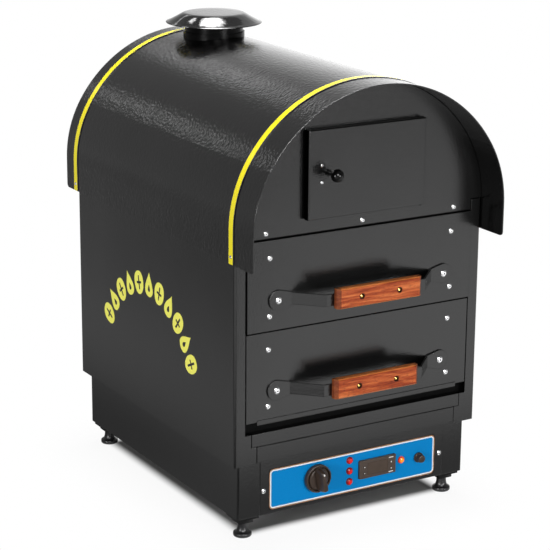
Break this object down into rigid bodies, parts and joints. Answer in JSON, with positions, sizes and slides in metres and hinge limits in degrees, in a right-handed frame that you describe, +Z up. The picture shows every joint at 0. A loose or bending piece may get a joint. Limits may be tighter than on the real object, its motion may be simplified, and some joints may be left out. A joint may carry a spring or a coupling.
{
  "type": "baked potato oven",
  "caption": "Free-standing baked potato oven with a barrel roof, chimney, small hinged door, drawers with wooden grips, a crumb tray and a control strip in a recessed base.",
  "frame": {"origin": "on the floor, under the middle of the roof's width and length", "axes": "+X to the oven's right as seen from its front, -Y out of its front, +Z up"},
  "size_m": [0.49, 0.676, 0.8015],
  "materials": {
    "arch_front_panel": "fine textured black powder coat",
    "arch_rear_panel": "semi-gloss black enamel",
    "base_floor": "bare steel",
    "base_skirt": "fine textured black powder coat",
    "body_floor": "bare steel",
    "cable_gland": "black plastic",
    "control_overlay": "blue printed film with white border",
    "control_plate": "fine textured black powder coat",
    "controller_case": "black plastic",
    "controller_key_1": "black plastic",
    "controller_key_2": "black plastic",
    "controller_key_3": "black plastic",
    "controller_key_4": "black plastic",
    "crumb_tray": "fine textured black powder coat",
    "deck": "bare steel",
    "door_catch": "bare steel",
    "door_knob": "black plastic",
    "door_leaf": "fine textured black powder coat",
    "door_pivots": "bare steel",
    "door_screws": "bright zinc",
    "drawer_lower_box": "bare steel",
    "drawer_lower_front": "fine textured black powder coat",
    "drawer_lower_grip": "stained hardwood, satin",
    "drawer_lower_handle": "semi-gloss black enamel",
    "drawer_lower_screws": "bright zinc",
    "drawer_runners": "bare steel",
    "drawer_upper_box": "bare steel",
    "drawer_upper_front": "fine textured black powder coat",
    "drawer_upper_grip": "stained hardwood, satin",
    "drawer_upper_handle": "semi-gloss black enamel",
    "drawer_upper_screws": "bright zinc",
    "flue_cap": "semi-gloss black enamel",
    "flue_collar": "semi-gloss black enamel",
    "flue_pipe": "semi-gloss black enamel",
    "foot_brackets": "black",
    "front_rail": "fine textured black powder coat",
    "heating_elements": "bare steel",
    "insulation": "mineral wool",
    "levelling_foot_left_front": "black",
    "levelling_foot_left_rear": "black",
    "levelling_foot_right_front": "black",
    "levelling_foot_right_rear": "black",
    "limit_thermostat": "black plastic",
    "oven_liner": "bare steel",
    "panel_screws": "bright zinc",
    "pilot_lamps": "red and amber lenses",
    "rear_panel": "semi-gloss black enamel",
    "reset_cap": "black plastic",
    "roof_barrel": "fine textured black powder coat",
    "selector_knob": "black plastic",
    "selector_shaft": "bare steel",
    "selector_switch": "black plastic",
    "side_panel_left": "fine textured black powder coat",
    "side_panel_right": "fine textured black powder coat",
    "temperature_probe": "bare steel",
    "terminal_block": "black plastic",
    "trim_band_front": "yellow enamel",
    "trim_band_rear": "yellow enamel",
    "trim_screws": "bright zinc",
    "vent_spigot": "bare steel"
  },
  "bodies": {
    "cabinet": {"arch_front_panel": "arch_front_panel", "arch_rear_panel": "arch_rear_panel", "base_floor": "base_floor", "base_skirt": "base_skirt", "body_floor": "body_floor", "cable_gland": "cable_gland", "control_overlay": "control_overlay", "control_plate": "control_plate", "controller_case": "controller_case", "deck": "deck", "door_pivots": "door_pivots", "drawer_runners": "drawer_runners", "flue_cap": "flue_cap", "flue_collar": "flue_collar", "flue_pipe": "flue_pipe", "foot_brackets": "foot_brackets", "front_rail": "front_rail", "heating_elements": "heating_elements", "insulation": "insulation", "limit_thermostat": "limit_thermostat", "oven_liner": "oven_liner", "panel_screws": "panel_screws", "pilot_lamps": "pilot_lamps", "rear_panel": "rear_panel", "roof_barrel": "roof_barrel", "selector_switch": "selector_switch", "side_panel_left": "side_panel_left", "side_panel_right": "side_panel_right", "temperature_probe": "temperature_probe", "terminal_block": "terminal_block", "trim_band_front": "trim_band_front", "trim_band_rear": "trim_band_rear", "trim_screws": "trim_screws", "vent_spigot": "vent_spigot"},
    "door": {"door_leaf": "door_leaf", "door_knob": "door_knob", "door_catch": "door_catch", "door_screws": "door_screws"},
    "drawer_upper": {"drawer_upper_front": "drawer_upper_front", "drawer_upper_box": "drawer_upper_box", "drawer_upper_handle": "drawer_upper_handle", "drawer_upper_grip": "drawer_upper_grip", "drawer_upper_screws": "drawer_upper_screws"},
    "drawer_lower": {"drawer_lower_front": "drawer_lower_front", "drawer_lower_box": "drawer_lower_box", "drawer_lower_handle": "drawer_lower_handle", "drawer_lower_grip": "drawer_lower_grip", "drawer_lower_screws": "drawer_lower_screws"},
    "crumb_tray": {"crumb_tray": "crumb_tray"},
    "selector": {"selector_knob": "selector_knob", "selector_shaft": "selector_shaft"},
    "key_1": {"controller_key_1": "controller_key_1"},
    "key_2": {"controller_key_2": "controller_key_2"},
    "key_3": {"controller_key_3": "controller_key_3"},
    "key_4": {"controller_key_4": "controller_key_4"},
    "reset_cap": {"reset_cap": "reset_cap"},
    "foot_left_front": {"levelling_foot_left_front": "levelling_foot_left_front"},
    "foot_left_rear": {"levelling_foot_left_rear": "levelling_foot_left_rear"},
    "foot_right_front": {"levelling_foot_right_front": "levelling_foot_right_front"},
    "foot_right_rear": {"levelling_foot_right_rear": "levelling_foot_right_rear"}
  },
  "joints": [
    {"name": "door_swing", "type": "hinge", "parent": "cabinet", "child": "door", "pos_m": [0.108, -0.285, 0.61475], "axis": [0, 0, 1], "range_deg": [0, 110]},
    {"name": "drawer_upper_slide", "type": "slide", "parent": "cabinet", "child": "drawer_upper", "axis": [0, -1, 0], "range_m": [0, 0.4]},
    {"name": "drawer_lower_slide", "type": "slide", "parent": "cabinet", "child": "drawer_lower", "axis": [0, -1, 0], "range_m": [0, 0.4]},
    {"name": "crumb_tray_slide", "type": "slide", "parent": "cabinet", "child": "crumb_tray", "axis": [0, -1, 0], "range_m": [0, 0.4]},
    {"name": "selector_turn", "type": "hinge", "parent": "cabinet", "child": "selector", "pos_m": [-0.0745, -0.277, 0.0865], "axis": [0, -1, 0], "range_deg": [-270, 0]},
    {"name": "key_1_press", "type": "slide", "parent": "cabinet", "child": "key_1", "axis": [0, 1, 0], "range_m": [0, 0.0008], "stiffness_N_per_m": 600},
    {"name": "key_2_press", "type": "slide", "parent": "cabinet", "child": "key_2", "axis": [0, 1, 0], "range_m": [0, 0.0008], "stiffness_N_per_m": 600},
    {"name": "key_3_press", "type": "slide", "parent": "cabinet", "child": "key_3", "axis": [0, 1, 0], "range_m": [0, 0.0008], "stiffness_N_per_m": 600},
    {"name": "key_4_press", "type": "slide", "parent": "cabinet", "child": "key_4", "axis": [0, 1, 0], "range_m": [0, 0.0008], "stiffness_N_per_m": 600},
    {"name": "reset_cap_turn", "type": "hinge", "parent": "cabinet", "child": "reset_cap", "pos_m": [0.1324, -0.281, 0.0832], "axis": [0, -1, 0], "range_deg": [0, 1080]},
    {"name": "foot_left_front_turn", "type": "hinge", "parent": "cabinet", "child": "foot_left_front", "pos_m": [-0.203, -0.24, 0.02], "axis": [0, 0, 1], "continuous": true},
    {"name": "foot_left_rear_turn", "type": "hinge", "parent": "cabinet", "child": "foot_left_rear", "pos_m": [-0.203, 0.2604, 0.02], "axis": [0, 0, 1], "continuous": true},
    {"name": "foot_right_front_turn", "type": "hinge", "parent": "cabinet", "child": "foot_right_front", "pos_m": [0.203, -0.24, 0.02], "axis": [0, 0, 1], "continuous": true},
    {"name": "foot_right_rear_turn", "type": "hinge", "parent": "cabinet", "child": "foot_right_rear", "pos_m": [0.203, 0.2604, 0.02], "axis": [0, 0, 1], "continuous": true}
  ]
}
